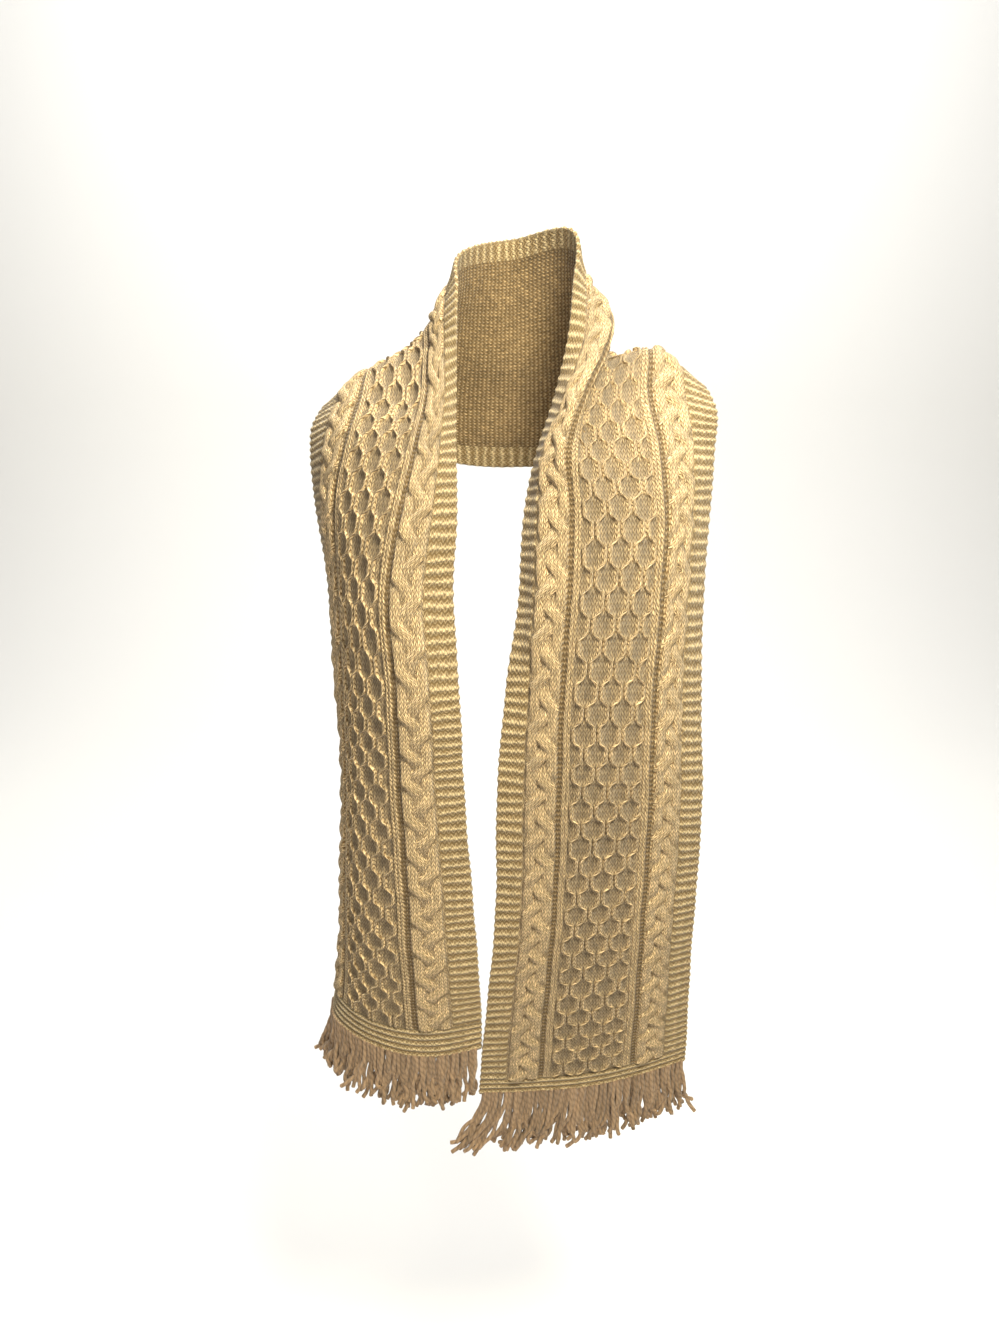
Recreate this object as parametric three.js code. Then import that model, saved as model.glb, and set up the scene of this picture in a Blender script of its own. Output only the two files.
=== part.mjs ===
// Cable knit wool scarf, hung once round a neck with both ends down the front.
// Millimetres, +Z up. The wearer faces -Y, the wearer's left is +X, and the
// origin lies on the neck's axis at the height of the shoulders.
import * as THREE from 'three';

// Driving dimensions
const clothWidth = 218;
const wall = 5;
const seamGap = 0.3;
const stepsAcross = 20;
const fringeThickness = 9;
const fringeRows = 4;

// The knitted strip, followed from the left front's hem, over the left
// shoulder, round the nape and down to the right front's hem. A row is one
// knitted course: how far along the relaxed cloth it lies, and where five
// stations across it come to rest, from the edge at the neck to the outer edge.
const stations = [0, 0.25, 0.5, 0.75, 1];
// name, along, inner edge, inner quarter, middle, outer quarter, outer edge
const sections = [
  ['left hem', 0, [-36, -150, -736], [22, -155, -729], [79, -154, -724], [134, -145, -717], [189, -126, -713]],
  ['left knee', 118, [-27, -152, -623], [27, -157, -616], [82, -154, -611], [136, -143, -610], [188, -121, -612]],
  ['left thigh', 265, [-17, -147, -486], [35, -153, -483], [87, -150, -481], [139, -138, -483], [190, -114, -490]],
  ['left hip', 380, [-16, -140, -374], [36, -148, -372], [89, -145, -373], [140, -131, -378], [191, -104, -388]],
  ['left waist', 480, [-7, -122, -275], [39, -140, -272], [91, -135, -273], [140, -118, -278], [186, -86, -288]],
  ['left ribs', 560, [5, -97, -192], [44, -128, -188], [95, -121, -188], [145, -100, -193], [187, -64, -202]],
  ['left chest', 630, [9, -76, -120], [47, -110, -115], [97, -105, -114], [149, -80, -117], [193, -38, -124]],
  ['left collarbone', 698, [22, -52, -60], [46, -89, -55], [89, -78, -56], [146, -52, -57], [199, -12, -62]],
  ['left shoulder', 758, [40, -38, -4], [60, -66, -6], [88, -44, -8], [138, -18, -6], [202, 14, -20]],
  ['left ridge', 800, [49, -30, 38], [77, -34, 34], [98, -6, 24], [140, 12, 32], [192, 46, -2]],
  ['behind left', 846, [55, -16, 84], [82, 0, 66], [108, 36, 30], [136, 60, 16], [160, 86, -28]],
  ['nape left', 914, [57, 16, 140], [62, 52, 92], [68, 80, 34], [76, 98, -26], [80, 112, -82]],
  ['nape', 988, [0, 62, 138], [0, 76, 82], [0, 88, 24], [0, 101, -34], [0, 116, -92]],
  ['nape right', 1062, [-53, 22, 122], [-60, 54, 78], [-68, 80, 26], [-76, 98, -30], [-78, 112, -84]],
  ['behind right', 1130, [-56, -18, 86], [-80, 2, 60], [-108, 38, 30], [-134, 62, 2], [-148, 92, -46]],
  ['right ridge', 1178, [-56, -34, 44], [-81, -26, 34], [-113, -4, 25], [-152, 20, 10], [-188, 54, -20]],
  ['right shoulder', 1222, [-56, -50, 2], [-80, -60, -7], [-115, -42, -11], [-158, -16, -16], [-205, 28, -36]],
  ['right collarbone', 1274, [-57, -70, -45], [-87, -88, -46], [-126, -72, -46], [-168, -38, -50], [-208, 12, -68]],
  ['right chest', 1338, [-56, -90, -102], [-99, -112, -100], [-142, -90, -101], [-179, -46, -108], [-205, 6, -120]],
  ['right ribs', 1418, [-60, -108, -184], [-113, -130, -181], [-153, -100, -184], [-178, -50, -190], [-197, 4, -198]],
  ['right waist', 1498, [-56, -126, -272], [-109, -143, -269], [-151, -109, -275], [-177, -60, -281], [-194, -6, -288]],
  ['right hip', 1618, [-51, -137, -380], [-106, -150, -377], [-154, -120, -384], [-176, -70, -390], [-184, -18, -396]],
  ['right thigh', 1738, [-44, -142, -494], [-102, -156, -490], [-155, -132, -496], [-181, -85, -502], [-186, -34, -508]],
  ['right knee', 1858, [-37, -147, -600], [-98, -159, -597], [-151, -145, -598], [-185, -102, -602], [-192, -52, -608]],
  ['right hem', 1936, [-36, -148, -678], [-95, -160, -680], [-149, -151, -672], [-192, -116, -670], [-205, -66, -678]],
];

// Soft folds: a ridge (or a trough where high is negative) along a line from one
// place on the cloth to another, each given as millimetres along, share across.
const folds = [
  { name: 'border roll', from: [530, 0.13], to: [690, 0.12], high: 6, wide: 14, fade: 30 },
  { name: 'collar roll', from: [700, 0.27], to: [850, 0.29], high: 9, wide: 17, fade: 34 },
  { name: 'collar tuck', from: [730, 0.36], to: [866, 0.45], high: -9, wide: 18, fade: 30 },
  { name: 'nape bend', from: [950, 0.52], to: [1030, 0.5], high: -3, wide: 20, fade: 30 },
  { name: 'back ripple left', from: [884, 0.8], to: [872, 1], high: 5, wide: 16, fade: 24 },
  { name: 'back ripple right', from: [1096, 0.72], to: [1108, 1], high: 5, wide: 18, fade: 26 },
  { name: 'shoulder dip right', from: [1168, 0.3], to: [1220, 0.42], high: -4, wide: 18, fade: 26 },
];

// The stretches that show, each a piece of its own, with its number of steps.
const stretches = [
  { name: 'left_front', from: 0, to: 690, steps: 24 },
  { name: 'left_shoulder', from: 690, to: 880, steps: 17 },
  { name: 'neck_back', from: 880, to: 1096, steps: 18 },
  { name: 'right_shoulder', from: 1096, to: 1290, steps: 16 },
  { name: 'right_front', from: 1290, to: 1936, steps: 22 },
];

// Each end's fringe hangs from its hem. The drop and the sideways swing of its
// lower edge are given at the inner edge, the middle and the outer edge.
const fringes = [
  { name: 'left_fringe', at: 0, beyond: -1, drop: [88, 80, 66], swing: [-24, -4, 2] },
  { name: 'right_fringe', at: 1936, beyond: 1, drop: [68, 70, 66], swing: [-6, -4, -10] },
];

// Smooth curve through values at uneven places, by cubic pieces whose slope at
// each place is the weighted mean of the slopes on its two sides.
function smooth(places, values, t) {
  const last = places.length - 1;
  let i = 0;
  while (i < last - 1 && t > places[i + 1]) i += 1;
  const rise = (k) => (values[k + 1] - values[k]) / (places[k + 1] - places[k]);
  const inner = (k) => {
    const before = places[k] - places[k - 1];
    const after = places[k + 1] - places[k];
    return (rise(k - 1) * after + rise(k) * before) / (before + after);
  };
  const slope = (k) => {
    if (k === 0) return 1.5 * rise(0) - 0.5 * inner(1);
    if (k === last) return 1.5 * rise(last - 1) - 0.5 * inner(last - 1);
    return inner(k);
  };
  const span = places[i + 1] - places[i];
  const s = (t - places[i]) / span;
  const keep = 2 * s ** 3 - 3 * s ** 2 + 1;
  const leave = (s ** 3 - 2 * s ** 2 + s) * span;
  const arrive = (s ** 3 - s ** 2) * span;
  return keep * values[i] + (1 - keep) * values[i + 1] + leave * slope(i) + arrive * slope(i + 1);
}

// Where a place on the cloth lies before its folds.
function drape(along, across) {
  const places = sections.map((row) => row[1]);
  const axis = (k) => {
    const line = stations.map((_, c) => smooth(places, sections.map((row) => row[2 + c][k]), along));
    return smooth(stations, line, across);
  };
  return new THREE.Vector3(axis(0), axis(1), axis(2));
}

// The cloth's outward direction there, from two short steps each way.
function outward(along, across) {
  const step = 1;
  const share = step / clothWidth;
  const alongWay = drape(along + step, across).sub(drape(along - step, across));
  const acrossWay = drape(along, across + share).sub(drape(along, across - share));
  return acrossWay.cross(alongWay).normalize();
}

function foldHeight(along, across) {
  const place = new THREE.Vector2(along, across * clothWidth);
  return folds.reduce((height, fold) => {
    const start = new THREE.Vector2(fold.from[0], fold.from[1] * clothWidth);
    const way = new THREE.Vector2(fold.to[0], fold.to[1] * clothWidth).sub(start);
    const length = way.length();
    way.normalize();
    const reach = place.clone().sub(start);
    const beside = reach.cross(way);
    const past = reach.dot(way) - THREE.MathUtils.clamp(reach.dot(way), 0, length);
    return height + fold.high * Math.exp(-((beside / fold.wide) ** 2) - (past / fold.fade) ** 2);
  }, 0);
}

// A place on the folded cloth, moved out from its middle by the given distance.
function clothPoint(along, across, out) {
  const away = outward(along, across).multiplyScalar(foldHeight(along, across) + out);
  return drape(along, across).add(away);
}

// Closes two facing sheets of points, rows along by columns across, into a wall.
function closedWall(rows, columns, point) {
  const positions = [];
  const index = [];
  const id = (side, i, j) => (side * (rows + 1) + i) * (columns + 1) + j;
  const quad = (a, b, c, d) => index.push(a, b, c, a, c, d);
  for (const side of [0, 1]) {
    for (let i = 0; i <= rows; i += 1) {
      for (let j = 0; j <= columns; j += 1) positions.push(...point(i, j, side).toArray());
    }
  }
  for (let i = 0; i < rows; i += 1) {
    for (let j = 0; j < columns; j += 1) {
      quad(id(0, i, j), id(0, i, j + 1), id(0, i + 1, j + 1), id(0, i + 1, j));
      quad(id(1, i, j), id(1, i + 1, j), id(1, i + 1, j + 1), id(1, i, j + 1));
    }
    quad(id(0, i, 0), id(0, i + 1, 0), id(1, i + 1, 0), id(1, i, 0));
    quad(id(0, i, columns), id(1, i, columns), id(1, i + 1, columns), id(0, i + 1, columns));
  }
  for (let j = 0; j < columns; j += 1) {
    quad(id(0, 0, j), id(1, 0, j), id(1, 0, j + 1), id(0, 0, j + 1));
    quad(id(0, rows, j), id(0, rows, j + 1), id(1, rows, j + 1), id(1, rows, j));
  }
  const geometry = new THREE.BufferGeometry();
  geometry.setAttribute('position', new THREE.Float32BufferAttribute(positions, 3));
  geometry.setIndex(index);
  geometry.computeVertexNormals();
  return geometry;
}

function stretchGeometry({ from, to, steps }) {
  const start = from + seamGap / 2;
  const end = to - seamGap / 2;
  return closedWall(steps, stepsAcross, (i, j, side) => {
    const along = THREE.MathUtils.lerp(start, end, i / steps);
    return clothPoint(along, j / stepsAcross, side === 0 ? wall / 2 : -wall / 2);
  });
}

// The reach of a fringe: a slab that follows the hem and hangs straight down.
function fringeGeometry({ at, beyond, drop, swing }) {
  const thirds = [0, 0.5, 1];
  return closedWall(fringeRows, stepsAcross, (i, j, side) => {
    const across = j / stepsAcross;
    const down = i / fringeRows;
    const row = beyond > 0 ? down : 1 - down;
    const out = (side === 0 ? 0.5 : -0.5) * fringeThickness;
    const top = clothPoint(at, across, 0);
    const hangs = drape(at, across).sub(drape(at - beyond, across)).normalize();
    top.addScaledVector(hangs, seamGap).addScaledVector(outward(at, across), out);
    top.x += row * row * smooth(thirds, swing, across);
    top.z -= row * smooth(thirds, drop, across);
    return top;
  });
}

const creamWool = { color: 0xd8c59a, roughness: 0.95, metalness: 0 };
const fringeWool = { color: 0xcfba8e, roughness: 0.95, metalness: 0 };

const scarf = new THREE.Group();
for (const stretch of stretches) {
  const mesh = new THREE.Mesh(stretchGeometry(stretch), new THREE.MeshStandardMaterial(creamWool));
  mesh.name = stretch.name;
  scarf.add(mesh);
}
for (const fringe of fringes) {
  const mesh = new THREE.Mesh(fringeGeometry(fringe), new THREE.MeshStandardMaterial(fringeWool));
  mesh.name = fringe.name;
  scarf.add(mesh);
}

export default scarf;
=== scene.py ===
import math

import bpy
import numpy as np
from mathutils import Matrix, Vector


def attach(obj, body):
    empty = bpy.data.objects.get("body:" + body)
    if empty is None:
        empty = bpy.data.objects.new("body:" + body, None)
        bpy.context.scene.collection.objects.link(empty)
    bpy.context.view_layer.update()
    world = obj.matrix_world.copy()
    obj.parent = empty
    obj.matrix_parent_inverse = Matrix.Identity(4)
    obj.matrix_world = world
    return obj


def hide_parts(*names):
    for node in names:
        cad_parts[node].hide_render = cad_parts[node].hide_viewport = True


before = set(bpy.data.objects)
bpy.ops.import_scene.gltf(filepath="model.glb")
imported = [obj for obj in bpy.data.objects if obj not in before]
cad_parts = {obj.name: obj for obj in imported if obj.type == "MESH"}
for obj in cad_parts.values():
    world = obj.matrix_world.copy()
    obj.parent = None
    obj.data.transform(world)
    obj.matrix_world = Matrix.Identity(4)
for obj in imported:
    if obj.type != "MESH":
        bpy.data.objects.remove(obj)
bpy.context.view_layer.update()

MM = 0.001

# ---------------------------------------------------------------------------------------------
# How the strip hangs
# ---------------------------------------------------------------------------------------------

CLOTH_WIDTH = 218
STATIONS = np.array([0, 0.25, 0.5, 0.75, 1])

# name, along, inner edge, inner quarter, middle, outer quarter, outer edge
SECTIONS = [
    ("left hem", 0,
     (-36, -150, -736), (22, -155, -729), (79, -154, -724), (134, -145, -717), (189, -126, -713)),
    ("left knee", 118,
     (-27, -152, -623), (27, -157, -616), (82, -154, -611), (136, -143, -610), (188, -121, -612)),
    ("left thigh", 265,
     (-17, -147, -486), (35, -153, -483), (87, -150, -481), (139, -138, -483), (190, -114, -490)),
    ("left hip", 380,
     (-16, -140, -374), (36, -148, -372), (89, -145, -373), (140, -131, -378), (191, -104, -388)),
    ("left waist", 480,
     (-7, -122, -275), (39, -140, -272), (91, -135, -273), (140, -118, -278), (186, -86, -288)),
    ("left ribs", 560,
     (5, -97, -192), (44, -128, -188), (95, -121, -188), (145, -100, -193), (187, -64, -202)),
    ("left chest", 630,
     (9, -76, -120), (47, -110, -115), (97, -105, -114), (149, -80, -117), (193, -38, -124)),
    ("left collarbone", 698,
     (22, -52, -60), (46, -89, -55), (89, -78, -56), (146, -52, -57), (199, -12, -62)),
    ("left shoulder", 758,
     (40, -38, -4), (60, -66, -6), (88, -44, -8), (138, -18, -6), (202, 14, -20)),
    ("left ridge", 800,
     (49, -30, 38), (77, -34, 34), (98, -6, 24), (140, 12, 32), (192, 46, -2)),
    ("behind left", 846,
     (55, -16, 84), (82, 0, 66), (108, 36, 30), (136, 60, 16), (160, 86, -28)),
    ("nape left", 914,
     (57, 16, 140), (62, 52, 92), (68, 80, 34), (76, 98, -26), (80, 112, -82)),
    ("nape", 988,
     (0, 62, 138), (0, 76, 82), (0, 88, 24), (0, 101, -34), (0, 116, -92)),
    ("nape right", 1062,
     (-53, 22, 122), (-60, 54, 78), (-68, 80, 26), (-76, 98, -30), (-78, 112, -84)),
    ("behind right", 1130,
     (-56, -18, 86), (-80, 2, 60), (-108, 38, 30), (-134, 62, 2), (-148, 92, -46)),
    ("right ridge", 1178,
     (-56, -34, 44), (-81, -26, 34), (-113, -4, 25), (-152, 20, 10), (-188, 54, -20)),
    ("right shoulder", 1222,
     (-56, -50, 2), (-80, -60, -7), (-115, -42, -11), (-158, -16, -16), (-205, 28, -36)),
    ("right collarbone", 1274,
     (-57, -70, -45), (-87, -88, -46), (-126, -72, -46), (-168, -38, -50), (-208, 12, -68)),
    ("right chest", 1338,
     (-56, -90, -102), (-99, -112, -100), (-142, -90, -101), (-179, -46, -108), (-205, 6, -120)),
    ("right ribs", 1418,
     (-60, -108, -184), (-113, -130, -181), (-153, -100, -184), (-178, -50, -190), (-197, 4, -198)),
    ("right waist", 1498,
     (-56, -126, -272), (-109, -143, -269), (-151, -109, -275), (-177, -60, -281), (-194, -6, -288)),
    ("right hip", 1618,
     (-51, -137, -380), (-106, -150, -377), (-154, -120, -384), (-176, -70, -390), (-184, -18, -396)),
    ("right thigh", 1738,
     (-44, -142, -494), (-102, -156, -490), (-155, -132, -496), (-181, -85, -502), (-186, -34, -508)),
    ("right knee", 1858,
     (-37, -147, -600), (-98, -159, -597), (-151, -145, -598), (-185, -102, -602), (-192, -52, -608)),
    ("right hem", 1936,
     (-36, -148, -678), (-95, -160, -680), (-149, -151, -672), (-192, -116, -670), (-205, -66, -678)),
]
PLACES = np.array([row[1] for row in SECTIONS], float)
NET = np.array([row[2:] for row in SECTIONS], float)
LENGTH = PLACES[-1]

# name, from (along, share across), to, high, wide, fade
FOLDS = [
    ("border roll", (530, 0.13), (690, 0.12), 6, 14, 30),
    ("collar roll", (700, 0.27), (850, 0.29), 9, 17, 34),
    ("collar tuck", (730, 0.36), (866, 0.45), -9, 18, 30),
    ("nape bend", (950, 0.52), (1030, 0.5), -3, 20, 30),
    ("back ripple left", (884, 0.8), (872, 1), 5, 16, 24),
    ("back ripple right", (1096, 0.72), (1108, 1), 5, 18, 26),
    ("shoulder dip right", (1168, 0.3), (1220, 0.42), -4, 18, 26),
]

# The stretches that show: name, from, to, what the stretch rests on or hangs from.
STRETCHES = [
    ("left_front", 0, 690, ["left_shoulder"]),
    ("left_shoulder", 690, 880, ["neck_back"]),
    ("neck_back", 880, 1096, ["left_shoulder", "right_shoulder"]),
    ("right_shoulder", 1096, 1290, ["neck_back"]),
    ("right_front", 1290, 1936, ["right_shoulder"]),
]


def slopes(places, values):
    """The slope of a smooth curve at each place: the weighted mean of the slopes on its two sides."""
    span = np.diff(places).reshape(-1, *[1] * (values.ndim - 1))
    rise = np.diff(values, axis=0) / span
    inner = (rise[:-1] * span[1:] + rise[1:] * span[:-1]) / (span[:-1] + span[1:])
    first = 1.5 * rise[:1] - 0.5 * inner[:1]
    last = 1.5 * rise[-1:] - 0.5 * inner[-1:]
    return np.concatenate([first, inner, last])


def smooth(places, values, at, rows=None):
    """A smooth curve through values, read at each of `at`. With rows, each row of `at` has its own curve."""
    slope = slopes(places, values)
    i = np.clip(np.searchsorted(places, at, side="right") - 1, 0, len(places) - 2)
    here, after = (i, i + 1) if rows is None else ((i, rows), (i + 1, rows))
    spread = (...,) + (None,) * (values[here].ndim - i.ndim)
    span = (places[i + 1] - places[i])[spread]
    s = (at - places[i])[spread] / span
    keep = 2 * s**3 - 3 * s**2 + 1
    leave = (s**3 - 2 * s**2 + s) * span
    arrive = (s**3 - s**2) * span
    return keep * values[here] + (1 - keep) * values[after] + leave * slope[here] + arrive * slope[after]


def drape(along, share):
    """Where the cloth hangs before its folds. `along` has a value for each row, `share` a row of shares."""
    rows = smooth(PLACES, NET, along)
    return smooth(STATIONS, rows.swapaxes(0, 1), share, np.arange(len(along))[:, None])


def outward(along, share):
    """The cloth's outward direction, from two short steps each way."""
    step = 1
    along_way = drape(along + step, share) - drape(along - step, share)
    across_way = drape(along, share + step / CLOTH_WIDTH) - drape(along, share - step / CLOTH_WIDTH)
    away = np.cross(across_way, along_way)
    return away / np.linalg.norm(away, axis=-1, keepdims=True)


def fold_height(along, across):
    """How far the soft folds move the cloth out, at places in millimetres along and across."""
    height = np.zeros(np.broadcast(along, across).shape)
    for _, start, end, high, wide, fade in FOLDS:
        x, y = start[0], start[1] * CLOTH_WIDTH
        run, side = end[0] - x, end[1] * CLOTH_WIDTH - y
        length = math.hypot(run, side)
        on = ((along - x) * run + (across - y) * side) / length
        beside = ((along - x) * side - (across - y) * run) / length
        past = on - np.clip(on, 0, length)
        height += high * np.exp(-((beside / wide) ** 2) - (past / fade) ** 2)
    return height


def cloth(along, across, out):
    """Places on the folded cloth, in metres, moved `out` from the middle of its wall."""
    share = across / CLOTH_WIDTH
    lift = fold_height(along[:, None], across) + out
    return (drape(along, share) + outward(along, share) * lift[..., None]) * MM


# ---------------------------------------------------------------------------------------------
# The knitting: its repeats along the strip, and the bands of stitches side by side across it
# ---------------------------------------------------------------------------------------------

COURSES = 8  # courses of knitting in a repeat
RIDGES = 4  # garter ridges in a repeat, one to each two courses
STITCH = 3.2  # the width of a plain stitch
GARTER_STITCH = 4.6  # garter spreads wider than the cables do
HEM_RIDGE = 6.8  # from ridge to ridge in the garter bands at the hems
HEM_BAND_LEFT = 21
HEM_BAND_RIGHT = 34
BORDER_STEPS = 12  # grid steps across a garter border
RIDGE_DRIFT = 0.22  # how far a garter ridge drifts, in ridges
PLAIT_DRIFT = 0.06  # and a plait's crossings and a honeycomb's cells, in repeats
CELL_DRIFT = 0.05
HEIGHT_DRIFT = 0.16  # how uneven the relief is, as a share of its height

# along, repeats so far: they lie closer just above each hem
REPEATS = np.array([
    (0, -1.45), (24, -0.75), (49, 0), (81, 1), (118, 2), (398, 9), (718, 17), (798, 19),
    (1218, 30), (1298, 32), (1658, 41), (1815, 45), (1852, 46), (1880, 47), (1898, 47.55), (LENGTH, 48.8),
])

# From the inner edge of the strip to the outer: kind, width, grid steps across it
BANDS = [
    ("garter", 25, BORDER_STEPS),
    ("groove", 2, 2),
    ("plait", 31, 32),
    ("purl", 5.5, 4),
    ("rib", 7.5, 8),
    ("honeycomb", 76, 72),
    ("rib", 7.5, 8),
    ("purl", 5.5, 4),
    ("plait", 31, 32),
    ("groove", 2, 2),
    ("garter", 25, BORDER_STEPS),
]


def ease(x):
    """From 0 to 1, level at both ends."""
    x = np.clip(x, 0, 1)
    return x * x * (3 - 2 * x)


def hump(x):
    """1 at 0, falling smoothly to 0 at -1 and 1."""
    return np.clip(1 - x * x, 0, 1) ** 2


def round_top(x):
    """The round top of a cord, from its side at -1 to its side at 1."""
    return np.sqrt(np.clip(1 - x * x, 0, 1))


def wander(along, across):
    """A slow, uneven drift between -1 and 1, as hand knitting has."""
    waves = [(23, 41, 0), (9.7, -17, 1.3), (57, -29, 4.1)]
    return sum(np.sin(along / a + across / b + c) for a, b, c in waves) / len(waves)


def corners(left, right):
    """The values at the four corners of each quad, from those at its left and right sides on each row."""
    return np.stack([left[:-1], right[:-1], right[1:], left[1:]], -1)


def garter_ridge(count):
    """The height of garter stitch: a full ridge at each whole number, and a narrow furrow between."""
    return 0.1 + 1.3 * (0.5 + 0.5 * np.cos(2 * np.pi * count))


def ridge_count(along, repeats, across):
    """How many garter ridges there are up to each place. They aren't quite level."""
    return RIDGES * repeats[:, None] + RIDGE_DRIFT * wander(along[:, None], across)


def plain_band(height, width, steps, stitch):
    """A band whose stitches run straight up it."""
    across = np.tile(np.linspace(0, width, steps + 1), (len(height), 1))
    return across, height, corners(across[:, :-1], across[:, 1:]) / stitch


def garter(along, repeats, start, width, steps):
    across = start + np.linspace(0, width, steps + 1)
    return plain_band(garter_ridge(ridge_count(along, repeats, across)), width, steps, GARTER_STITCH)


def groove(along, repeats, start, width, steps):
    """The narrow sunk line between the border and a plait."""
    line = -0.8 * hump(np.linspace(-1, 1, steps + 1))
    return plain_band(np.tile(line, (len(along), 1)), width, steps, STITCH)


def purl(along, repeats, start, width, steps):
    """A sunk column, two stitches wide."""
    line = -0.9 * hump(np.linspace(-1, 1, steps + 1))
    return plain_band(np.tile(line, (len(along), 1)), width, steps, width / 2)


def rib(along, repeats, start, width, steps):
    """Two raised columns of knit stitches."""
    one = 1.4 * round_top(np.linspace(-1, 1, steps // 2 + 1))
    line = np.concatenate([one, one[1:]])
    return plain_band(np.tile(line, (len(along), 1)), width, steps, width / 2)


STRAND = 10  # the width of a plait's strand, three stitches
STRAND_HIGH = 3.9
STRAND_FULL = 0.6  # half its width where it lies free, as a share of STRAND
STRAND_LEAN = 0.3  # how much wider it lies across where it leans
CROSSING = 0.46  # the share of a repeat in which a strand crosses
LIFT = 1.8  # how far a strand rises to cross over
SINK = 2.6  # and how far it sinks to cross under
INNER = 0.26  # where in the repeat the strands cross on the plait's inner half
OUTER = 0.74  # and on its outer half


def plait_strand(turn):
    """How far a strand lies from the plait's middle, how it rises and how wide it lies.

    It comes round in three repeats."""
    turn = turn % 3
    # where in the turn, which way it moves, how it rises
    crossings = [(INNER, 1, LIFT), (OUTER, 1, -SINK), (1 + OUTER, -1, LIFT), (2 + INNER, -1, -SINK)]
    side = -STRAND + 0 * turn
    rise = 0 * turn
    wide = 1 + 0 * turn
    for place, way, high in crossings:
        side = side + STRAND * way * ease((turn - place) / CROSSING + 0.5)
        rise = rise + high * hump((turn - place) / (0.85 * CROSSING))
        wide = wide + STRAND_LEAN * hump((turn - place) / (0.6 * CROSSING))
    return side, rise, STRAND_FULL * STRAND * wide


def plait(along, repeats, start, width, steps):
    """Three strands that cross over and under each other, with stitches that follow the upper one."""
    across = np.tile(np.linspace(0, width, steps + 1), (len(along), 1))
    own = repeats + PLAIT_DRIFT * wander(along, start)
    sides, rises, halves = zip(*(plait_strand(own + strand) for strand in range(3)))
    sides = np.array(sides)[..., None] + width / 2
    beside = (across - sides) / np.array(halves)[..., None]
    tops = np.array(rises)[..., None] + STRAND_HIGH * round_top(beside)
    tops = np.where(abs(beside) < 1, tops, -STRAND_HIGH)
    height = np.maximum(tops.max(0), 0)
    height[:, [0, -1]] = 0
    middles = tops[:, :-1, :-1] + tops[:, :-1, 1:] + tops[:, 1:, :-1] + tops[:, 1:, 1:]
    upper = middles.argmax(0)
    row = np.arange(len(along) - 1)[:, None]
    below, above = sides[upper, row, 0], sides[upper, row + 1, 0]
    from_middle = corners(across[:, :-1], across[:, 1:]) - np.stack([below, below, above, above], -1)
    return across, height, from_middle / (STRAND / 3) + 1.5


CORD = 2.15  # half the width of a honeycomb cord, two stitches
CORD_TIGHT = 0.7  # how much narrower a cord is where it is pulled across
CORD_STEPS = np.array([-1, -0.9, -0.62, -0.3, 0, 0.3, 0.62, 0.9, 1])
CORD_HIGH = 2.2
CORD_LIFT = 1.0  # how much higher it is there
CORDS = 6  # side by side in the panel, two to each cell
CREASE = 0.6  # left between cords where they meet
SLIT = 4.5  # how deep the slit between them would go, if DEEPEST didn't stop it
BOWL = 2.0  # how far the middle of a cell sinks


def swing(repeats):
    """From 1, where a cord meets one neighbour, to -1, where it meets the other, resting at both."""
    return np.clip(1.16 * np.tanh(1.8 * np.cos(2 * np.pi * repeats)), -1, 1)


def honeycomb(along, repeats, start, width, steps):
    """Cords that lean in turn to each side and close cells between them. The grid rides on the cords."""
    block = width / CORDS
    across, height, stitches = [], [], []
    for number in range(CORDS):
        foot = number * block
        own = repeats + CELL_DRIFT * wander(along, start + foot)
        sway = swing(own) * (1 if number % 2 else -1)
        pulled = np.sin(2 * np.pi * own) ** 4
        half = CORD - CORD_TIGHT * pulled
        middle = foot + block / 2 + sway * (block / 2 - half - CREASE)
        high = CORD_HIGH + CORD_LIFT * pulled
        left, right = middle - half, middle + half
        columns = [foot + 0 * middle, (foot + left) / 2]
        columns += [middle + half * step for step in CORD_STEPS]
        columns += [(right + foot + block) / 2, foot + block + 0 * middle]
        left_gap = (left - foot) / (block - 2 * CORD)
        right_gap = (foot + block - right) / (block - 2 * CORD)
        heights = [-BOWL * left_gap**2 - SLIT * (1 - left_gap) ** 6, -0.85 * BOWL * left_gap**2]
        heights += [high * round_top(step) for step in CORD_STEPS]
        heights += [-0.85 * BOWL * right_gap**2, 0 * middle]
        columns = np.array(columns).T
        on_cord = np.isin(np.arange(columns.shape[1] - 1), range(2, 10))
        origin = np.where(on_cord, middle[:, None] - STITCH, 0)
        stitches.append(corners(columns[:, :-1] - origin, columns[:, 1:] - origin) / STITCH)
        across.append(columns[:, :-1])
        height.append(np.array(heights).T[:, :-1])
    across.append(np.full((len(along), 1), width))
    height.append(np.zeros((len(along), 1)))
    return np.hstack(across), np.hstack(height), np.concatenate(stitches, 1)


KNIT, PURL, GARTER = 0, 1, 2
STITCH_OF = {"garter": GARTER, "purl": PURL}
MAKERS = {
    "garter": garter, "groove": groove, "plait": plait,
    "purl": purl, "rib": rib, "honeycomb": honeycomb,
}


def right_side(along):
    """The side of the knitting that shows: its columns, their heights, the stitch places of its quads, the
    kinds of stitch and the repeats up to each row."""
    repeats = smooth(REPEATS[:, 0], REPEATS[:, 1], along)
    across, height, stitches, kinds = [], [], [], []
    start = 0
    for kind, width, steps in BANDS:
        columns, tops, places = MAKERS[kind](along, repeats, start, width, steps)
        if height:
            tops[:, 0] = np.minimum(tops[:, 0], height.pop()[:, 0])
            across.pop()
        across += list((start + columns).T[:, :, None])
        height += list(tops.T[:, :, None])
        stitches.append(places)
        kinds += [STITCH_OF.get(kind, KNIT)] * steps
        start += width
    return np.hstack(across), np.hstack(height), np.concatenate(stitches, 1), np.array(kinds), repeats


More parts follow.
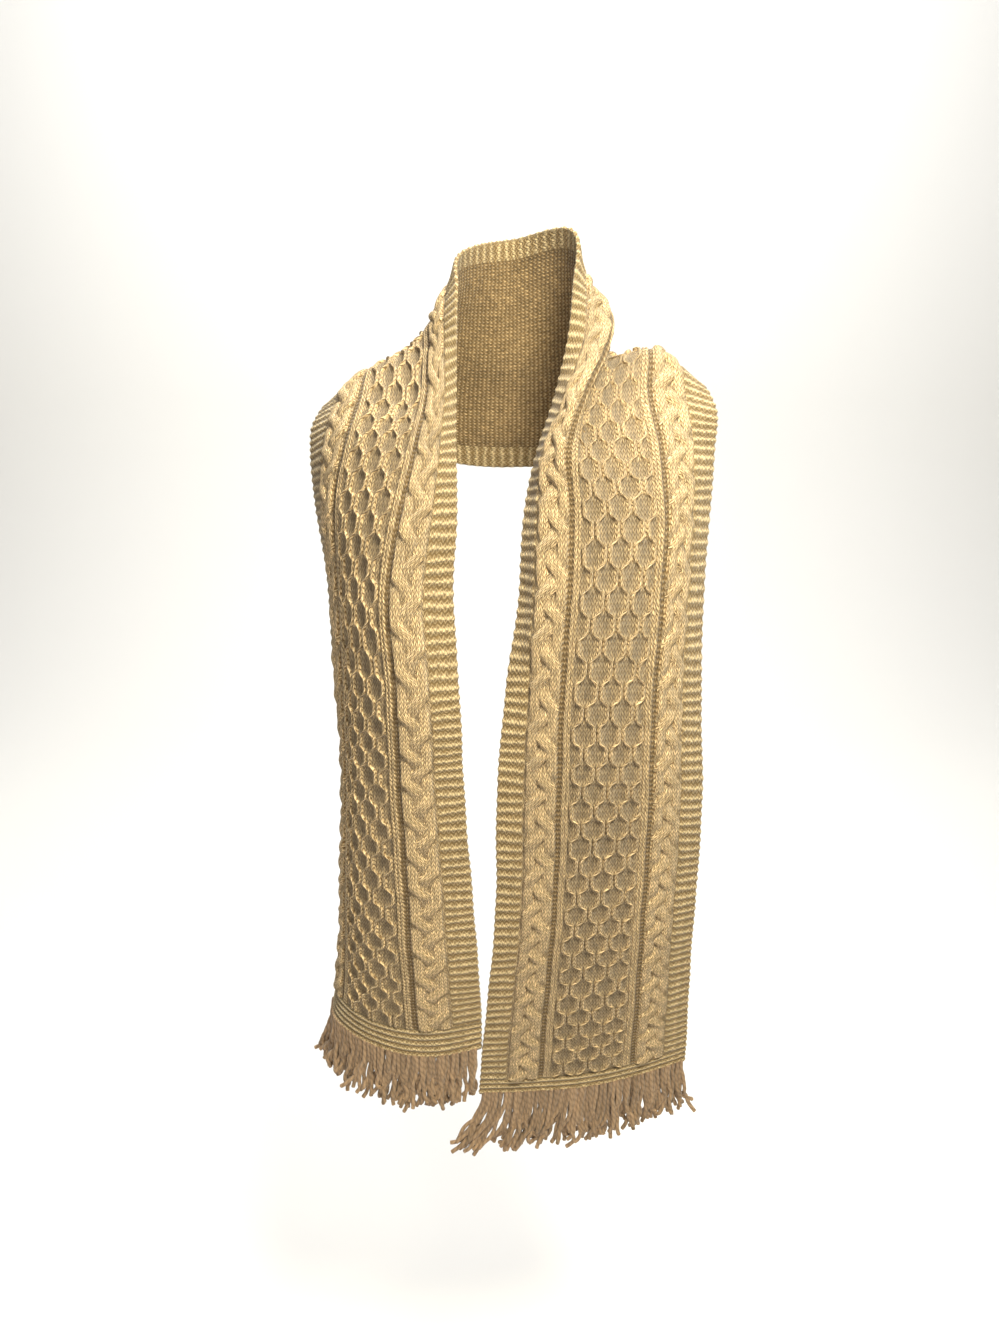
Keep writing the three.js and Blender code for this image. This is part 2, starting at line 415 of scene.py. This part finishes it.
def hem_band(along):
    """How far a row belongs to a hem's garter band, from 0 to 1, and its count of garter ridges."""
    near_left = along < LENGTH / 2
    from_hem = np.where(near_left, along, LENGTH - along)
    band = np.where(near_left, HEM_BAND_LEFT, HEM_BAND_RIGHT)
    return ease((band - from_hem) / 3 + 0.5), from_hem / HEM_RIDGE - 0.5


# ---------------------------------------------------------------------------------------------
# The wall of cloth
# ---------------------------------------------------------------------------------------------

FRONT_OUT = 0.9  # from the wall's middle out to the foot of the front's stitches
BACK_OUT = -2.4
DEEPEST = -1.5  # no bowl or slit goes further in, so the wall keeps nearly 1 mm behind it
BACK_STEP = 5  # the back keeps one of this many columns
EDGE_ANGLES = np.radians([50, 0, -50])  # the round edge, from front to back
EDGE_BULGE = 1.4
SCALLOP = 0.7  # how far a garter ridge stands out at the edge
UNEVEN = 0.9  # how far the stitches wander sideways
EDGE_STEP = 1.2  # from one stitch place to the next round the edge
EDGE_RELIEF = 1.5  # the relief that an edge is shaded as
BACK_FOOT = 1.7  # from the wall's middle in to the foot of the back's garter ridges
BACK_RIDGE = 0.6  # their height, as a share of a front ridge's
ROW_STEP = 1.8
HEM_ROW_STEP = 1


def row_places(start, end):
    """The rows of the grid along a stretch, closer in a hem's band."""
    marks = [start, end]
    if start == 0:
        marks.insert(1, HEM_BAND_LEFT + 3)
    if end == LENGTH:
        marks.insert(1, LENGTH - HEM_BAND_RIGHT - 3)
    rows = [np.array([start])]
    for low, high in zip(marks, marks[1:]):
        in_band = high <= HEM_BAND_LEFT + 3 or low >= LENGTH - HEM_BAND_RIGHT - 3
        count = round((high - low) / (HEM_ROW_STEP if in_band else ROW_STEP))
        rows.append(np.linspace(low, high, count + 1)[1:])
    return np.concatenate(rows).astype(float)


def wall_of_cloth(along):
    """Closed loops round the cloth, one for each row: points and their relief, each quad's stitch places and
    kind, and the columns that the back keeps."""
    across, height, stitches, kinds, repeats = right_side(along)
    last = across.shape[1] - 1
    in_band, band_ridges = hem_band(along)
    blend = in_band[:, None]
    height = height * (1 + HEIGHT_DRIFT * wander(3 * along[:, None], 3 * across))
    front = FRONT_OUT + (1 - blend) * height + blend * garter_ridge(band_ridges)[:, None]
    front = np.maximum(front, DEEPEST)

    picks = np.arange(last, -1, -BACK_STEP)
    picks[-1] = 0
    back_kinds = np.where((picks[1:] >= last - BORDER_STEPS) | (picks[:-1] <= BORDER_STEPS), GARTER, PURL)
    back_ridges = garter_ridge(ridge_count(along, repeats, across[:, picks]) + 0.5)
    garter_back = BACK_FOOT + back_ridges * BACK_RIDGE
    plain_back = -BACK_OUT + 0.25 * np.maximum(height[:, picks], 0)
    column_garter = (picks > last - BORDER_STEPS) | (picks < BORDER_STEPS)
    back = -np.where(column_garter | (blend > 0.5), garter_back, plain_back)

    edges = []
    for here, there in ((front[:, [-1]], back[:, [0]]), (front[:, [0]], back[:, [-1]])):
        out = (here + there) / 2 + (here - there) / 2 * np.sin(EDGE_ANGLES)
        beyond = (EDGE_BULGE + SCALLOP * (here - FRONT_OUT - 0.3)) * np.cos(EDGE_ANGLES)
        edges.append((out, beyond))
    (outer_out, outer_beyond), (inner_out, inner_beyond) = edges
    loop_across = np.hstack([across, CLOTH_WIDTH + outer_beyond, across[:, picks], -inner_beyond[:, ::-1]])
    loop_out = np.hstack([front, outer_out, back, inner_out[:, ::-1]])
    # The relief also sets the painted shade of the wool: lower relief is painted darker. The edges get
    # EDGE_RELIEF, and the back a value from its own height.
    edge_relief = np.full(outer_out.shape, EDGE_RELIEF)
    relief = np.hstack([front - FRONT_OUT, edge_relief, -back - 1, edge_relief])
    sway = UNEVEN * wander(0.7 * along[:, None] + 50, 0.6 * loop_across)
    points = cloth(along, loop_across + sway, loop_out)

    # Stitch places: across in stitches, along in courses, or in ridges where it is garter.
    rest = np.hstack([loop_across[:, last:], loop_across[:, :1]])
    rest[:, 1:4] += np.array([1, 2, 3]) * EDGE_STEP
    rest[:, -4:-1] -= np.array([3, 2, 1]) * EDGE_STEP
    rest_places = corners(rest[:, :-1], rest[:, 1:])
    rest_kinds = np.concatenate([[GARTER] * 4, back_kinds, [GARTER] * 4])
    loop_kinds = np.tile(np.concatenate([kinds, rest_kinds]), (len(along) - 1, 1))
    row_in_band = (in_band[:-1] + in_band[1:] > 1)[:, None]
    loop_kinds[np.tile(row_in_band, loop_kinds.shape[1])] = GARTER
    loop_places = np.concatenate([stitches, rest_places / STITCH], 1)
    everywhere = np.concatenate([corners(across[:, :-1], across[:, 1:]), rest_places], 1) / GARTER_STITCH
    is_garter = (loop_kinds == GARTER)[..., None]
    loop_places = np.where(is_garter, everywhere, loop_places)
    courses = corners(COURSES * repeats[:, None], COURSES * repeats[:, None])
    counts = np.where(blend > 0.5, band_ridges[:, None], ridge_count(along, repeats, loop_across))
    loop_rows = np.where(is_garter, corners(counts, np.roll(counts, -1, 1)), courses)
    return points, relief, loop_places, loop_rows, loop_kinds, picks


def loop_normals(points):
    """Smooth normals for the loops, from the two neighbours each way."""
    round_way = np.roll(points, -1, 1) - np.roll(points, 1, 1)
    along_way = np.gradient(points, axis=0)
    normal = np.cross(round_way, along_way)
    return normal / np.maximum(np.linalg.norm(normal, axis=-1, keepdims=True), 1e-12)


def end_faces(picks, columns, first):
    """The faces that close one end of the wall: one for each column of the back, and one at each edge."""
    back = columns + 3
    faces = []
    for i, (high, low) in enumerate(zip(picks, picks[1:])):
        faces.append([*range(low, high + 1), back + i, back + i + 1])
    faces.append([*range(columns - 1, columns + 4)])
    faces.append([*range(back + len(picks) - 1, back + len(picks) + 3), 0])
    return [face[::-1] for face in faces] if first else faces


def cloth_piece(name, start, end, materials):
    """One stretch of the scarf as a closed wall, with normals that run on into the next stretch."""
    rows = row_places(start, end)
    before = [start - ROW_STEP] if start > 0 else []
    after = [end + ROW_STEP] if end < LENGTH else []
    rows = np.concatenate([before, rows, after])
    points, relief, places, counts, kinds, picks = wall_of_cloth(rows)
    normals = loop_normals(points)
    keep = slice(len(before), len(rows) - len(after))
    keep_quads = slice(len(before), len(rows) - 1 - len(after))
    points, normals, relief = points[keep], normals[keep], relief[keep]
    places, counts, kinds = places[keep_quads], counts[keep_quads], kinds[keep_quads]

    count, around = points.shape[:2]
    row, place = np.mgrid[0 : count - 1, 0:around]
    beside = (place + 1) % around
    quads = np.stack([
        row * around + place, row * around + beside, (row + 1) * around + beside, (row + 1) * around + place,
    ], -1)
    columns = sum(steps for _, _, steps in BANDS) + 1
    caps = end_faces(picks, columns, True)
    top = (count - 1) * around
    caps += [[top + corner for corner in face] for face in end_faces(picks, columns, False)]
    mesh = bpy.data.meshes.new(name)
    mesh.from_pydata(points.reshape(-1, 3).tolist(), [], quads.reshape(-1, 4).tolist() + caps)

    stitches = np.zeros((len(mesh.loops), 2), np.float32)
    stitches[: quads.size] = np.stack([places, counts], -1).reshape(-1, 2)
    mesh.uv_layers.new(name="stitches").uv.foreach_set("vector", stitches.ravel())
    mesh.attributes.new("relief", "FLOAT", "POINT").data.foreach_set("value", relief.ravel())
    index = np.zeros(len(mesh.polygons), np.int32)
    index[: kinds.size] = kinds.ravel()
    for material in materials:
        mesh.materials.append(material)
    mesh.polygons.foreach_set("material_index", index)
    mesh.polygons.foreach_set("use_smooth", np.ones(len(mesh.polygons), bool))
    mesh.normals_split_custom_set_from_vertices(normals.reshape(-1, 3).tolist())
    piece = bpy.data.objects.new(name, mesh)
    bpy.context.scene.collection.objects.link(piece)
    return piece


# ---------------------------------------------------------------------------------------------
# Wool
# ---------------------------------------------------------------------------------------------


def linear(colour):
    """A hex sRGB colour as the linear values that sockets take."""
    channels = [int(colour[i : i + 2], 16) / 255 for i in (1, 3, 5)]
    return [c / 12.92 if c <= 0.04045 else ((c + 0.055) / 1.055) ** 2.4 for c in channels] + [1]


def add(tree, kind, inputs=(), **settings):
    """Adds a node with its settings. Each input is a value, a socket, or a node, for its first output."""
    node = tree.nodes.new(kind)
    for name, value in settings.items():
        setattr(node, name, value)
    for socket, value in inputs.items() if isinstance(inputs, dict) else enumerate(inputs):
        if isinstance(value, bpy.types.Node):
            value = value.outputs[0]
        if isinstance(value, bpy.types.NodeSocket):
            tree.links.new(value, node.inputs[socket])
        else:
            node.inputs[socket].default_value = value
    return node


def knit_height(tree, across, along):
    """Stocking stitch: columns of V, each leg a plump yarn. Gives the height and the count of yarns up it."""
    middle = add(tree, "ShaderNodeMath", [across, 0.5], operation="PINGPONG")
    leg = add(tree, "ShaderNodeMath", [across, 0.25], operation="PINGPONG")
    wide = add(tree, "ShaderNodeMath", [leg, 2.4, 0.4], operation="MULTIPLY_ADD")
    edge = add(tree, "ShaderNodeMath", [middle, 5, 0.45], operation="MULTIPLY_ADD")
    apart = add(tree, "ShaderNodeMath", [edge, 1], operation="MINIMUM")
    body = add(tree, "ShaderNodeMath", [wide, apart], operation="MULTIPLY")
    lean = add(tree, "ShaderNodeMath", [middle, 1.9, along], operation="MULTIPLY_ADD")
    yarns = add(tree, "ShaderNodeMath", [lean, 0.5], operation="PINGPONG")
    full = add(tree, "ShaderNodeMath", [yarns, 3.2], operation="MULTIPLY")
    capped = add(tree, "ShaderNodeMath", [full, 1], operation="MINIMUM")
    return add(tree, "ShaderNodeMath", [body, capped], operation="MULTIPLY", use_clamp=True), lean


def purl_height(tree, across, along):
    """Reverse stocking stitch: rungs of yarn that wave from stitch to stitch."""
    turned = add(tree, "ShaderNodeMath", [across, 2 * math.pi], operation="MULTIPLY")
    wave = add(tree, "ShaderNodeMath", [turned], operation="COSINE")
    waved = add(tree, "ShaderNodeMath", [wave, 0.17, along], operation="MULTIPLY_ADD")
    bars = add(tree, "ShaderNodeMath", [waved, 0.5], operation="PINGPONG")
    plump = add(tree, "ShaderNodeMath", [wave, 0.5, 1.5], operation="MULTIPLY_ADD")
    both = add(tree, "ShaderNodeMath", [bars, plump], operation="MULTIPLY")
    return add(tree, "ShaderNodeMath", [both, 1.8], operation="POWER"), waved


def garter_height(tree, across, along):
    """Garter stitch: two staggered rows of beads along each ridge, and shade between the ridges."""
    turned = add(tree, "ShaderNodeMath", [across, 2 * math.pi], operation="MULTIPLY")
    wave = add(tree, "ShaderNodeMath", [turned], operation="COSINE")
    waved = add(tree, "ShaderNodeMath", [wave, 0.09, along], operation="MULTIPLY_ADD")
    signed = add(tree, "ShaderNodeMath", [waved, 0.5, -0.5], operation="WRAP")
    apart = add(tree, "ShaderNodeMath", [signed], operation="ABSOLUTE")
    upward = add(tree, "ShaderNodeMath", [signed, 10.5], operation="MULTIPLY")
    rows = add(tree, "ShaderNodeMath", [upward], operation="SINE")
    beads = add(tree, "ShaderNodeMath", [wave, rows], operation="MULTIPLY")
    plump = add(tree, "ShaderNodeMath", [beads, 0.5, 0.5], operation="MULTIPLY_ADD")
    ridge = add(tree, "ShaderNodeMath", [apart, -4.4, 1.95], operation="MULTIPLY_ADD", use_clamp=True)
    return add(tree, "ShaderNodeMath", [plump, ridge], operation="MULTIPLY"), upward


HEIGHTS = {"stocking stitch": knit_height, "reverse stitch": purl_height, "garter stitch": garter_height}


def yarn_surface(material, height, depth, deep, face, variation):
    """Fills a material with matt wool: brown painted shade deep between the yarns, cream on their crowns,
    loose fibres.
    """
    tree = material.node_tree
    object_place = add(tree, "ShaderNodeTexCoord").outputs["Object"]
    cloudy = add(tree, "ShaderNodeTexNoise", {"Vector": object_place, "Scale": 38, "Detail": 2})
    fibres = add(tree, "ShaderNodeTexNoise", {"Vector": object_place, "Scale": 800, "Detail": 3})
    # Painted shade between the yarns: where the stitch height is low the wool is painted the dark deep
    # colour, and on the crowns the cream face colour.
    colour = add(tree, "ShaderNodeMix", {0: height, 6: linear(deep), 7: linear(face)}, data_type="RGBA")
    drift = add(tree, "ShaderNodeMapRange", [cloudy, 0.3, 0.7, 0.93, 1.04])
    # variation carries the random tone, and for the knitting also the painted shade of the relief.
    tint = add(tree, "ShaderNodeMath", [drift, variation], operation="MULTIPLY")
    shade = add(tree, "ShaderNodeVectorMath", {0: colour.outputs[2], 3: tint}, operation="SCALE")
    stitch_bump = add(tree, "ShaderNodeBump", {"Height": height, "Distance": depth, "Strength": 1.0})
    fibre_bump = add(tree, "ShaderNodeBump", {
        "Height": fibres, "Distance": 0.0004, "Strength": 0.6, "Normal": stitch_bump,
    })
    surface = add(tree, "ShaderNodeBsdfPrincipled", {
        "Base Color": shade, "Normal": fibre_bump, "Roughness": 0.92,
        "Specular IOR Level": 0.2, "Sheen Weight": 0.2, "Sheen Roughness": 0.5,
    })
    add(tree, "ShaderNodeOutputMaterial", [surface])


def knitted_wool(stitch, deep, face):
    """Undyed aran wool, knitted by hand: no two stitches catch the light quite alike."""
    material = bpy.data.materials.new(f"aran wool, {stitch}")
    material.use_nodes = True
    tree = material.node_tree
    tree.nodes.clear()
    stitches = add(tree, "ShaderNodeUVMap", uv_map="stitches")
    object_place = add(tree, "ShaderNodeTexCoord").outputs["Object"]
    loose = add(tree, "ShaderNodeTexNoise", {"Vector": object_place, "Scale": 150, "Detail": 2})
    centred = add(tree, "ShaderNodeVectorMath", [
        loose.outputs["Color"], (0.5, 0.5, 0.5),
    ], operation="SUBTRACT")
    moved = add(tree, "ShaderNodeVectorMath", [centred, (0.7, 0.5, 0), stitches], operation="MULTIPLY_ADD")
    place = add(tree, "ShaderNodeSeparateXYZ", [moved])
    height, count = HEIGHTS[stitch](tree, place.outputs[0], place.outputs[1])
    yarns = add(tree, "ShaderNodeMath", [place.outputs[0], 2], operation="MULTIPLY")
    numbers = add(tree, "ShaderNodeCombineXYZ", [yarns, count])
    each = add(tree, "ShaderNodeVectorMath", [numbers], operation="FLOOR")
    chance = add(tree, "ShaderNodeTexWhiteNoise", [each], noise_dimensions="2D")
    uneven = add(tree, "ShaderNodeMapRange", [chance, 0.0, 1.0, 0.7, 1.22])
    relief = add(tree, "ShaderNodeAttribute", attribute_name="relief").outputs["Fac"]
    # Painted shade: the lower the relief, the darker the wool is painted, so bowls, slits and hollows come
    # out darker and raised cords and strands lighter. It multiplies the random tone of each stitch.
    painted_shade = add(tree, "ShaderNodeMapRange", [relief, -3.0, 3.2, 0.45, 1.18])
    variation = add(tree, "ShaderNodeMath", [uneven, painted_shade], operation="MULTIPLY")
    yarn_surface(material, height, 0.0014, deep, face, variation)
    return material


knit_wool = knitted_wool("stocking stitch", "#735731", "#F5D9A9")
# The reverse-stitch copy of the wool is darker than the others: painted shade for its sunk purl columns and
# for the wrong side, where it is used.
purl_wool = knitted_wool("reverse stitch", "#6B5638", "#CCB287")
garter_wool = knitted_wool("garter stitch", "#7D6744", "#E2CB9F")


def loose_wool(deep, face):
    """The same wool as a loose plied yarn: two plies twisted together, with a shaded line between them."""
    material = bpy.data.materials.new("aran wool, plied yarn")
    material.use_nodes = True
    tree = material.node_tree
    tree.nodes.clear()
    place = add(tree, "ShaderNodeAttribute", attribute_name="around").outputs["Vector"]
    around = add(tree, "ShaderNodeSeparateXYZ", [place])
    angle = add(tree, "ShaderNodeMath", [around.outputs[1], around.outputs[0]], operation="ARCTAN2")
    turns = add(tree, "ShaderNodeAttribute", attribute_name="turns").outputs["Fac"]
    share = add(tree, "ShaderNodeMath", [angle, 1 / math.pi, turns], operation="MULTIPLY_ADD")
    plies = add(tree, "ShaderNodeMath", [share, 0.5], operation="PINGPONG")
    full = add(tree, "ShaderNodeMath", [plies, 2.0], operation="MULTIPLY")
    height = add(tree, "ShaderNodeMath", [full, 0.6], operation="POWER")
    each = add(tree, "ShaderNodeAttribute", attribute_name="chance").outputs["Vector"]
    chance = add(tree, "ShaderNodeTexWhiteNoise", [each], noise_dimensions="3D")
    variation = add(tree, "ShaderNodeMapRange", [chance, 0.0, 1.0, 0.7, 1.2])
    yarn_surface(material, height, 0.0004, deep, face, variation)
    return material


# The fringe yarn is given darker colours than the knitted wool: painted shade for the hanging yarns.
fringe_wool = loose_wool("#7F6950", "#A4896C")

# ---------------------------------------------------------------------------------------------
# Fringes
# ---------------------------------------------------------------------------------------------

# name, along, the way out of the cloth, and for the inner edge, the middle and the outer edge: drop and swing
FRINGES = [
    ("left_fringe", 0, -1, (80, 72, 64), (-34, -6, 4)),
    ("right_fringe", LENGTH, 1, (66, 67, 64), (-4, -6, -12)),
]
TUFTS = 48
YARNS = 3  # in a tuft
YARN_WIDE = 4.4
YARN_TWIST = 16  # from turn to turn of its plies


def fringe_tree():
    """Geometry Nodes: hangs a yarn from each point of a hem, on the path that the point's attributes give."""
    tree = bpy.data.node_groups.new("fringe", "GeometryNodeTree")
    sockets = {}
    for name, kind in [
        ("Hem", "Geometry"), ("Yarn width", "Float"), ("Plies to a metre", "Float"), ("Wave height", "Float"),
        ("Waves", "Float"), ("Steps", "Int"), ("Sides", "Int"), ("Wool", "Material"),
    ]:
        socket = tree.interface.new_socket(name, in_out="INPUT", socket_type="NodeSocket" + kind)
        sockets[name] = socket.identifier
    tree.interface.new_socket("Fringe", in_out="OUTPUT", socket_type="NodeSocketGeometry")
    asked = add(tree, "NodeGroupInput").outputs
    roots = add(tree, "GeometryNodeMeshToPoints", [asked["Hem"]])
    line = add(tree, "GeometryNodeCurvePrimitiveLine", {"Start": (0, 0, 0), "End": (0, 0, -1)})
    steps = add(tree, "GeometryNodeResampleCurve", {"Curve": line, "Count": asked["Steps"]})
    hung = add(tree, "GeometryNodeInstanceOnPoints", {"Points": roots, "Instance": steps})
    lines = add(tree, "GeometryNodeRealizeInstances", [hung])

    down = add(tree, "GeometryNodeSplineParameter").outputs["Factor"]
    fall = add(tree, "GeometryNodeInputNamedAttribute", {"Name": "fall"}, data_type="FLOAT_VECTOR")
    sweep = add(tree, "GeometryNodeInputNamedAttribute", {"Name": "sweep"}, data_type="FLOAT_VECTOR")
    chance = add(tree, "GeometryNodeInputNamedAttribute", {"Name": "chance"}, data_type="FLOAT_VECTOR")
    root = add(tree, "ShaderNodeCombineXYZ", {"Z": down})
    falling = add(tree, "ShaderNodeVectorMath", {0: fall, 3: down}, operation="SCALE")
    squared = add(tree, "ShaderNodeMath", [down, down], operation="MULTIPLY")
    sweeping = add(tree, "ShaderNodeVectorMath", {0: sweep, 3: squared}, operation="SCALE")
    waves = add(tree, "ShaderNodeVectorMath", {0: root, 3: asked["Waves"]}, operation="SCALE")
    here = add(tree, "ShaderNodeVectorMath", [waves, chance], operation="ADD")
    noise = add(tree, "ShaderNodeTexNoise", {"Vector": here, "Scale": 1.0, "Detail": 1.0})
    centred = add(tree, "ShaderNodeVectorMath", [
        noise.outputs["Color"], (0.5, 0.5, 0.5),
    ], operation="SUBTRACT")
    rising = add(tree, "ShaderNodeMath", [down, asked["Wave height"]], operation="MULTIPLY")
    waving = add(tree, "ShaderNodeVectorMath", {0: centred, 3: rising}, operation="SCALE")
    path = add(tree, "ShaderNodeVectorMath", [root, falling], operation="ADD")
    swept = add(tree, "ShaderNodeVectorMath", [path, sweeping], operation="ADD")
    offset = add(tree, "ShaderNodeVectorMath", [swept, waving], operation="ADD")
    hanging = add(tree, "GeometryNodeSetPosition", {"Geometry": lines, "Offset": offset})

    length = add(tree, "GeometryNodeSplineParameter").outputs["Length"]
    turns = add(tree, "ShaderNodeMath", [length, asked["Plies to a metre"]], operation="MULTIPLY")
    twisted = add(tree, "GeometryNodeStoreNamedAttribute", {
        "Geometry": hanging, "Name": "turns", "Value": turns,
    }, data_type="FLOAT", domain="POINT")
    radius = add(tree, "ShaderNodeMath", [asked["Yarn width"], 0.5], operation="MULTIPLY")
    ring = add(tree, "GeometryNodeCurvePrimitiveCircle", {"Resolution": asked["Sides"], "Radius": radius})
    place = add(tree, "GeometryNodeInputPosition")
    ringed = add(tree, "GeometryNodeStoreNamedAttribute", {
        "Geometry": ring, "Name": "around", "Value": place,
    }, data_type="FLOAT_VECTOR", domain="POINT")
    yarns = add(tree, "GeometryNodeCurveToMesh", {
        "Curve": twisted, "Profile Curve": ringed, "Fill Caps": True,
    })
    whole = add(tree, "GeometryNodeRealizeInstances", [yarns])
    woolly = add(tree, "GeometryNodeSetMaterial", {"Geometry": whole, "Material": asked["Wool"]})
    add(tree, "NodeGroupOutput", [woolly])
    return tree, sockets


def hem_points(along, way, drop, swing_by, seed):
    """Where the yarns leave the cloth, and how each hangs."""
    random = np.random.default_rng(seed)
    tuft = np.repeat(np.arange(TUFTS), YARNS)
    layer = np.tile(np.arange(YARNS), TUFTS) - 1
    lean = np.cumsum(random.normal(0, 5, TUFTS))
    lean = (lean - np.convolve(lean, np.ones(9) / 9, "same"))[tuft]
    share = (tuft + 0.5) / TUFTS + random.uniform(-0.006, 0.006, len(tuft))
    across = 2 + share * (CLOTH_WIDTH - 4)
    above = np.where(layer == 1, 4.0, 1.5)
    roots = []
    for i in range(len(tuft)):
        spot = cloth(np.array([along - way * above[i]]), across[None, i : i + 1], 1.9 * layer[i])
        roots.append(spot[0, 0])
    stations = [0, CLOTH_WIDTH / 2, CLOTH_WIDTH]
    length = np.interp(across, stations, drop) * random.uniform(0.84, 1.03, len(tuft))
    aside = np.interp(across, stations, swing_by) + lean + random.normal(0, 4, len(tuft))
    out = -random.uniform(0, 3, len(tuft)) * layer
    fall = np.stack([0 * length, 0 * length, -length], -1) * MM
    sweep = np.stack([aside, out, 0.02 * abs(aside)], -1) * MM
    return np.array(roots), fall, sweep, random.uniform(0, 100, (len(tuft), 3))


tree, sockets = fringe_tree()
fringes = {}
for seed, (name, along, way, drop, swing_by) in enumerate(FRINGES):
    roots, fall, sweep, chance = hem_points(along, way, drop, swing_by, seed)
    mesh = bpy.data.meshes.new("hem points")
    mesh.from_pydata(roots.tolist(), [], [])
    for attribute, values in (("fall", fall), ("sweep", sweep), ("chance", chance)):
        mesh.attributes.new(attribute, "FLOAT_VECTOR", "POINT").data.foreach_set("vector", values.ravel())
    hem = bpy.data.objects.new("hem", mesh)
    bpy.context.scene.collection.objects.link(hem)
    modifier = hem.modifiers.new("fringe", "NODES")
    modifier.node_group = tree
    asked = {
        "Yarn width": YARN_WIDE * MM, "Plies to a metre": 2 / (YARN_TWIST * MM), "Wave height": 0.03,
        "Waves": 2.2, "Steps": 22, "Sides": 8, "Wool": fringe_wool,
    }
    for socket, value in asked.items():
        modifier[sockets[socket]] = value
    mesh = bpy.data.meshes.new_from_object(hem.evaluated_get(bpy.context.evaluated_depsgraph_get()))
    bpy.data.objects.remove(hem)
    mesh.polygons.foreach_set("use_smooth", np.ones(len(mesh.polygons), bool))
    fringes[name] = bpy.data.objects.new("yarns_" + name, mesh)
    bpy.context.scene.collection.objects.link(fringes[name])

# ---------------------------------------------------------------------------------------------
# The scarf
# ---------------------------------------------------------------------------------------------

pieces = {}
for name, start, end, _ in STRETCHES:
    pieces[name] = cloth_piece("knit_" + name, start, end, [knit_wool, purl_wool, garter_wool])

for name, fringe in fringes.items():
    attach(fringe, "root")
    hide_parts(name)

for name, start, end, rests_on in STRETCHES:
    piece = pieces[name]
    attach(piece, "root")
    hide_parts(name)

# ---------------------------------------------------------------------------------------------
# Studio
# ---------------------------------------------------------------------------------------------


def studio():
    """A pale floor that curves up into a backdrop."""
    floor_height = -1.4
    profile = [(-6, 0), (2.2, 0)]
    profile += [(2.2 + 1.2 * math.sin(a), 1.2 - 1.2 * math.cos(a)) for a in np.radians(range(10, 91, 10))]
    profile.append((3.4, 6))
    points = [(x, y, floor_height + z) for y, z in profile for x in (-6, 6)]
    faces = [(2 * i, 2 * i + 1, 2 * i + 3, 2 * i + 2) for i in range(len(profile) - 1)]
    mesh = bpy.data.meshes.new("backdrop")
    mesh.from_pydata(points, [], faces)
    mesh.polygons.foreach_set("use_smooth", np.ones(len(faces), bool))
    material = bpy.data.materials.new("matt painted backdrop")
    material.use_nodes = True
    paint = material.node_tree.nodes["Principled BSDF"]
    paint.inputs["Base Color"].default_value = linear("#F4F3F0")
    paint.inputs["Roughness"].default_value = 0.9
    mesh.materials.append(material)
    backdrop = bpy.data.objects.new("backdrop", mesh)
    bpy.context.scene.collection.objects.link(backdrop)


def area_light(name, place, target, size, power, colour):
    light = bpy.data.lights.new(name, "AREA")
    light.shape = "DISK"
    light.size = size
    light.energy = power
    light.color = linear(colour)[:3]
    lamp = bpy.data.objects.new(name, light)
    lamp.location = place
    lamp.rotation_euler = (Vector(target) - Vector(place)).to_track_quat("-Z", "Y").to_euler()
    bpy.context.scene.collection.objects.link(lamp)


studio()
area_light("key", (0.3, -0.76, 0.67), (0.03, -0.1, -0.15), 0.38, 28, "#FEF7DE")
area_light("fill", (-0.4, -2.1, -0.3), (0, 0, -0.5), 1.4, 18, "#FFF6E8")
area_light("backdrop light", (0, 0.9, 2.6), (0, 3.0, -0.6), 2.5, 160, "#FFFFFF")

world = bpy.data.worlds.new("studio")
bpy.context.scene.world = world
world.use_nodes = True
world.node_tree.nodes["Background"].inputs["Color"].default_value = linear("#F4F2EE")
world.node_tree.nodes["Background"].inputs["Strength"].default_value = 0.12
bpy.context.scene.view_settings.view_transform = "Standard"

lens = bpy.data.cameras.new("camera")
lens.lens = 25.55
camera = bpy.data.objects.new("camera", lens)
camera.location = (-0.015, -0.98, 0.035)
camera.rotation_euler = (math.radians(90 - 18.6), 0, 0)
bpy.context.scene.collection.objects.link(camera)
bpy.context.scene.camera = camera
